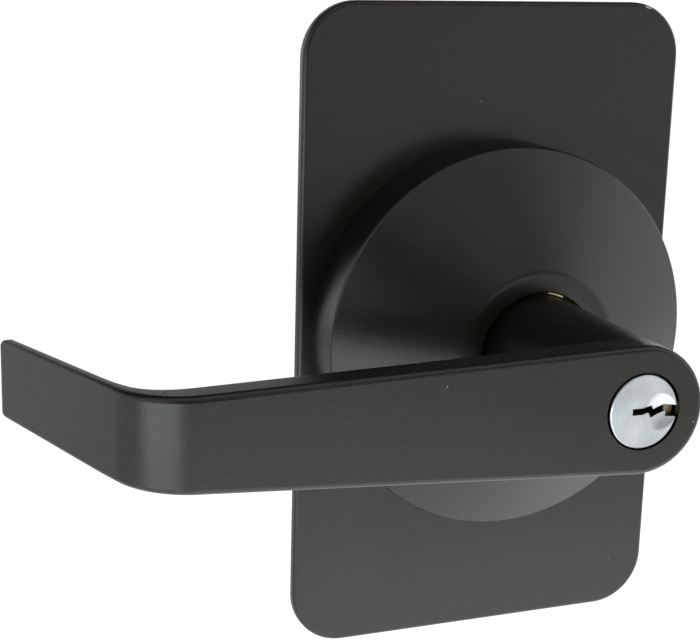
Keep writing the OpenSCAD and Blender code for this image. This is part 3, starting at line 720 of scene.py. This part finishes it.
class TRIM_OT_rose(bpy.types.Operator):
    """Turn the rose: wall, rounded rim, cone, softened land and hollow"""

    bl_idname = "trim.rose"
    bl_label = "Rose"

    def execute(self, context):
        shape = context.scene.trim_shape
        low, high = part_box("rose")
        outer, top, base = high[0], low[1], high[1]
        rim_y = base - shape.wall_height
        fall = (rim_y - top) / (outer - shape.land_radius)
        slope = Vector((1.0, fall)).angle(Vector((1.0, 0.0)))
        lean = -90 + slope * 180 / pi
        rim = shape.rim_radius
        rim_centre = (outer - rim, rim_y + rim * tan((pi / 2 - slope) / 2))
        soft = shape.land_soft
        land_centre = (shape.land_radius - soft * tan(slope / 2), top + soft)
        hole_centre = (shape.rose_hole + HOLE_EDGE, top + HOLE_EDGE)
        shell = shape.rose_shell
        profile = [(outer, base)]
        profile += arc(rim_centre, rim, 0, lean, 6)
        profile += arc(land_centre, soft, lean, -90, 10)
        profile += arc(hole_centre, HOLE_EDGE, -90, -180, 4)
        profile += [
            (shape.rose_hole, top + shell),
            (shape.land_radius - shell * tan(slope / 2), top + shell),
            (outer - shell, rim_y + shell / cos(slope) - shell * fall),
            (outer - shell, base),
        ]
        piece = turned(profile, shape.sides, 30)
        hand_over(piece, "rose_shell", "trim", FINISH["coat"], ["rose"])
        return {"FINISHED"}


class TRIM_OT_lever(bpy.types.Operator):
    """Smooth the lever: its long faces, bend and rounded edges run without facets"""

    bl_idname = "trim.lever"
    bl_label = "Lever"

    def execute(self, context):
        piece = merged_copy("lever_handle", 32)
        weighted = piece.modifiers.new("weighted", "WEIGHTED_NORMAL")
        weighted.keep_sharp = True
        bpy.ops.object.modifier_apply(modifier=weighted.name)
        hand_over(
            piece, "lever_grip", "lever", FINISH["coat"], ["lever_handle"])
        return {"FINISHED"}


class TRIM_OT_key_face(bpy.types.Operator):
    """Give the key plug a new front with its slot, notch and dimple, and plate its face"""

    bl_idname = "trim.key_face"
    bl_label = "Key Face"

    def new_front(self, piece, front, rim):
        """Cuts the plug's front off and joins a chamfered disc in its place."""
        deselect()
        bpy.ops.mesh.primitive_cube_add(
            size=FACE_BLOCK, location=(0, front + FACE_CUT - FACE_BLOCK / 2, 0))
        bpy.ops.object.transform_apply(location=True, rotation=True, scale=True)
        shape_with(piece, bpy.context.object, "DIFFERENCE")
        face = disc(rim - FACE_CLEAR, FACE_EDGE, front, front + FACE_CUT + FACE_LAP)
        shape_with(piece, face, "UNION")

    def cut_dimple(self, piece, front):
        """Cuts the dimple with a ball whose centre stands in front of the face."""
        x, z = DIMPLE_CENTRE
        deselect()
        bpy.ops.mesh.primitive_uv_sphere_add(
            segments=160, ring_count=80, radius=(DIMPLE_REACH ** 2 + DIMPLE_LIFT ** 2) ** 0.5,
            location=(x, front - DIMPLE_LIFT, z))
        bpy.ops.object.transform_apply(location=True, rotation=True, scale=True)
        shape_with(piece, bpy.context.object, "DIFFERENCE")

    def plate_faces(self, piece, front, rim):
        """Nickel on the face and its edge, polish in the dimple, brass on the rest."""
        layers = ("dull_brass", "nickel", "polish")
        piece.data.materials.clear()
        for key in layers:
            piece.data.materials.append(FINISH[key])
        for face in piece.data.polygons:
            depth = face.center.y - front
            out = (face.center.x ** 2 + face.center.z ** 2) ** 0.5
            if depth < FACE_SKIN or (out > rim - EDGE_BAND and depth < EDGE_PLATED):
                key = "nickel"
            elif face.normal.y < FACING_FRONT and depth < DIMPLE_PLATED:
                key = "polish"
            else:
                key = "dull_brass"
            face.material_index = layers.index(key)

    def execute(self, context):
        piece = merged_copy("key_plug", 30)
        low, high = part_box("key_plug")
        front, rim = low[1], high[0]
        self.new_front(piece, front, rim)
        for outline, depth in ((KEY_SLOT, SLOT_DEPTH), (KEY_NOTCH, NOTCH_DEPTH)):
            shape_with(piece, slab(outline, front - CUT_LEAD, front + depth), "DIFFERENCE")
        self.cut_dimple(piece, front)
        bpy.ops.object.shade_smooth_by_angle(angle=radians(30))
        self.plate_faces(piece, front, rim)
        hand_over(piece, "key_plug_plated", "plug", nodes=["key_plug"])
        return {"FINISHED"}


class TRIM_OT_catch_spring(bpy.types.Operator):
    """Spring strip behind the lever catch, copied with smooth faces; the real strip closes as the
    catch is pressed, here it stays as drawn
    """

    bl_idname = "trim.catch_spring"
    bl_label = "Catch Spring"

    def execute(self, context):
        piece = merged_copy("catch_spring", 30)
        hand_over(
            piece, "catch_spring_strip", "lever", FINISH["wire"],
            ["catch_spring"])
        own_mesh(piece)
        return {"FINISHED"}


class TRIM_OT_post_threads(bpy.types.Operator):
    """Line the four mounting posts with thread rings"""

    bl_idname = "trim.post_threads"
    bl_label = "Post Threads"

    def profile(self, shape, hole, start, end):
        """The ring's outline: a plain back in the post's wall and ridges inwards."""
        turns = int((end - start) / shape.thread_pitch)
        pitch = (end - start) / turns
        places = [(hole + THREAD_SEAT, start), (hole + THREAD_SEAT, end)]
        for i in range(turns):
            y = end - i * pitch
            places += [(hole, y), (hole - shape.thread_depth, y - 0.5 * pitch)]
        return places + [(hole, start)]

    def execute(self, context):
        mounts = frame["record"]["mounts"]
        bolts = next(m for m in mounts if m["name"] == "through_bolts")
        hole = bolts["dims"]["hole_r_mm"] / 1000
        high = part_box("mounting_posts")[1]
        end = high[1] - THREAD_END_GAP
        profile = self.profile(context.scene.trim_shape, hole, THREAD_START, end)
        thread = turned(profile, THREAD_SIDES, 20)
        posts = []
        reach_x, reach_z = high[0] - POST_RADIUS, high[2] - POST_RADIUS
        for x in (-reach_x, reach_x):
            for z in (-reach_z, reach_z):
                copy = thread.copy()
                copy.data = thread.data.copy()
                context.collection.objects.link(copy)
                make_active(copy)
                bpy.ops.transform.translate(value=(x, 0, z))
                bpy.ops.object.transform_apply(location=True, rotation=True, scale=True)
                posts.append(copy)
        make_active(thread)
        bpy.ops.object.delete()
        for i, copy in enumerate(posts):
            hand_over(
                copy, "post_thread_%d" % (i + 1), "trim",
                FINISH["clear_zinc"])
        return {"FINISHED"}


# The stage.


def facing(place, aim, front):
    """The turn that points an object's front axis from place to aim."""
    return (Vector(aim) - Vector(place)).to_track_quat(front, "Y").to_euler()


def soft_box(name, box, power, colour=WHITE):
    """An area light that shines from its place to its aim."""
    place, aim, width, height = box
    data = bpy.data.lights.new(name, "AREA")
    data.shape = "RECTANGLE"
    data.size = width
    data.size_y = height
    data.energy = power
    data.color = colour
    lamp = bpy.data.objects.new(name, data)
    bpy.context.collection.objects.link(lamp)
    lamp.location = place
    lamp.rotation_euler = facing(place, aim, "-Z")
    return lamp


def grey_card(name, place, aim, width, height, grey):
    """A grey card that is only seen in the trim's reflections."""
    deselect()
    bpy.ops.mesh.primitive_plane_add(size=1.0, location=place)
    card = bpy.context.object
    card.name = name
    card.scale = (width, height, 1.0)
    card.rotation_euler = facing(place, aim, "Z")
    card.visible_camera = False
    card.visible_diffuse = False
    card.visible_shadow = False
    material, _, shader = new_material(name)
    shader.inputs["Base Color"].default_value = (grey, grey, grey, 1.0)
    shader.inputs["Roughness"].default_value = 1.0
    shader.inputs["Specular IOR Level"].default_value = 0.0
    card.data.materials.append(material)


def seen(tree):
    """1 for what the camera sees, directly or in a reflection."""
    path = tree.nodes.new("ShaderNodeLightPath")
    return math_node(tree, "MAXIMUM", path.outputs["Is Camera Ray"], math_node(
        tree, "MAXIMUM", path.outputs["Is Glossy Ray"], path.outputs["Is Transmission Ray"]))


class TRIM_OT_stage(bpy.types.Operator):
    """Set the floor, the studio light and the camera"""

    bl_idname = "trim.stage"
    bl_label = "Stage"

    def lay_floor(self, stage, low):
        """A pale floor that looks a little paler than its light makes it."""
        deselect()
        bpy.ops.mesh.primitive_plane_add(size=FLOOR_SIZE, location=(0, 0, low))
        floor = bpy.context.object
        floor.name = "floor"
        material, tree, shader = new_material("pale_floor")
        shader.inputs["Base Color"].default_value = (FLOOR_GREY, FLOOR_GREY, FLOOR_GREY, 1.0)
        shader.inputs["Roughness"].default_value = FLOOR_ROUGHNESS
        shader.inputs["Emission Color"].default_value = (*WHITE, 1.0)
        lift = math_node(tree, "MULTIPLY", seen(tree), stage.floor_lift)
        tree.links.new(lift, shader.inputs["Emission Strength"])
        floor.data.materials.append(material)

    def light_world(self, scene, stage):
        """Even light all round, which looks plain white."""
        world = bpy.data.worlds.new("studio")
        scene.world = world
        world.use_nodes = True
        tree = world.node_tree
        tree.nodes.clear()
        strength = spread(tree, seen(tree), 0.0, 1.0, stage.world_light, 1.0)
        sky = tree.nodes.new("ShaderNodeBackground")
        sky.inputs["Color"].default_value = (*WHITE, 1.0)
        tree.links.new(strength, sky.inputs["Strength"])
        out = tree.nodes.new("ShaderNodeOutputWorld")
        tree.links.new(sky.outputs[0], out.inputs["Surface"])

    def set_camera(self, context, stage):
        """The camera where the photo was taken from."""
        lens = bpy.data.cameras.new("photo_camera")
        lens.lens = stage.lens
        lens.sensor_width = SENSOR_WIDTH
        lens.sensor_fit = "HORIZONTAL"
        lens.clip_start = NEAR_LIMIT
        camera = bpy.data.objects.new("photo_camera", lens)
        context.collection.objects.link(camera)
        back = [-c for c in CAMERA_AHEAD]
        turn = Matrix((CAMERA_RIGHT, CAMERA_UP, back)).transposed().to_4x4()
        camera.matrix_world = Matrix.Translation(CAMERA_PLACE) @ turn
        context.scene.camera = camera

    def execute(self, context):
        stage = context.scene.trim_stage
        low = CAD_BOX[0][2] - stage.floor_drop
        self.lay_floor(stage, low)
        self.light_world(context.scene, stage)
        over = soft_box("floor_box", FLOOR_BOX, stage.floor_light)
        over.visible_glossy = False
        soft_box("left_box", LEFT_BOX, stage.left_light, LEFT_TINT)
        soft_box("right_box", RIGHT_BOX, stage.right_light)
        for name, place, aim, width, height, grey in STANDING_CARDS:
            grey_card(name, place, aim, width, height, grey)
        for name, x, y, width, length, grey in LYING_CARDS:
            grey_card(name, (x, y, low + CARD_LIFT), (x, y, CARD_UP), width, length, grey)
        self.set_camera(context, stage)
        context.scene.view_settings.view_transform = "Standard"
        return {"FINISHED"}


class TRIM_PT_panel(bpy.types.Panel):
    """The trim's steps in the 3D view's sidebar"""

    bl_label = "Lever Trim"
    bl_idname = "TRIM_PT_panel"
    bl_space_type = "VIEW_3D"
    bl_region_type = "UI"
    bl_category = "Lever Trim"

    def draw(self, context):
        for operator in STEPS:
            self.layout.operator(operator.bl_idname)


STEPS = (
    TRIM_OT_finishes, TRIM_OT_rose, TRIM_OT_lever, TRIM_OT_key_face, TRIM_OT_catch_spring,
    TRIM_OT_post_threads, TRIM_OT_stage,
)
CLASSES = (TrimFinish, TrimShape, TrimStage) + STEPS + (TRIM_PT_panel,)


def register():
    for cls in CLASSES:
        bpy.utils.register_class(cls)
    bpy.types.Scene.trim_finish = PointerProperty(type=TrimFinish)
    bpy.types.Scene.trim_shape = PointerProperty(type=TrimShape)
    bpy.types.Scene.trim_stage = PointerProperty(type=TrimStage)


def unregister():
    del bpy.types.Scene.trim_stage
    del bpy.types.Scene.trim_shape
    del bpy.types.Scene.trim_finish
    for cls in reversed(CLASSES):
        bpy.utils.unregister_class(cls)


def main():
    register()
    bpy.ops.trim.finishes()
    bpy.ops.trim.rose()
    bpy.ops.trim.lever()
    bpy.ops.trim.key_face()
    bpy.ops.trim.catch_spring()
    bpy.ops.trim.post_threads()
    bpy.ops.trim.stage()


if __name__ == "__main__":
    main()
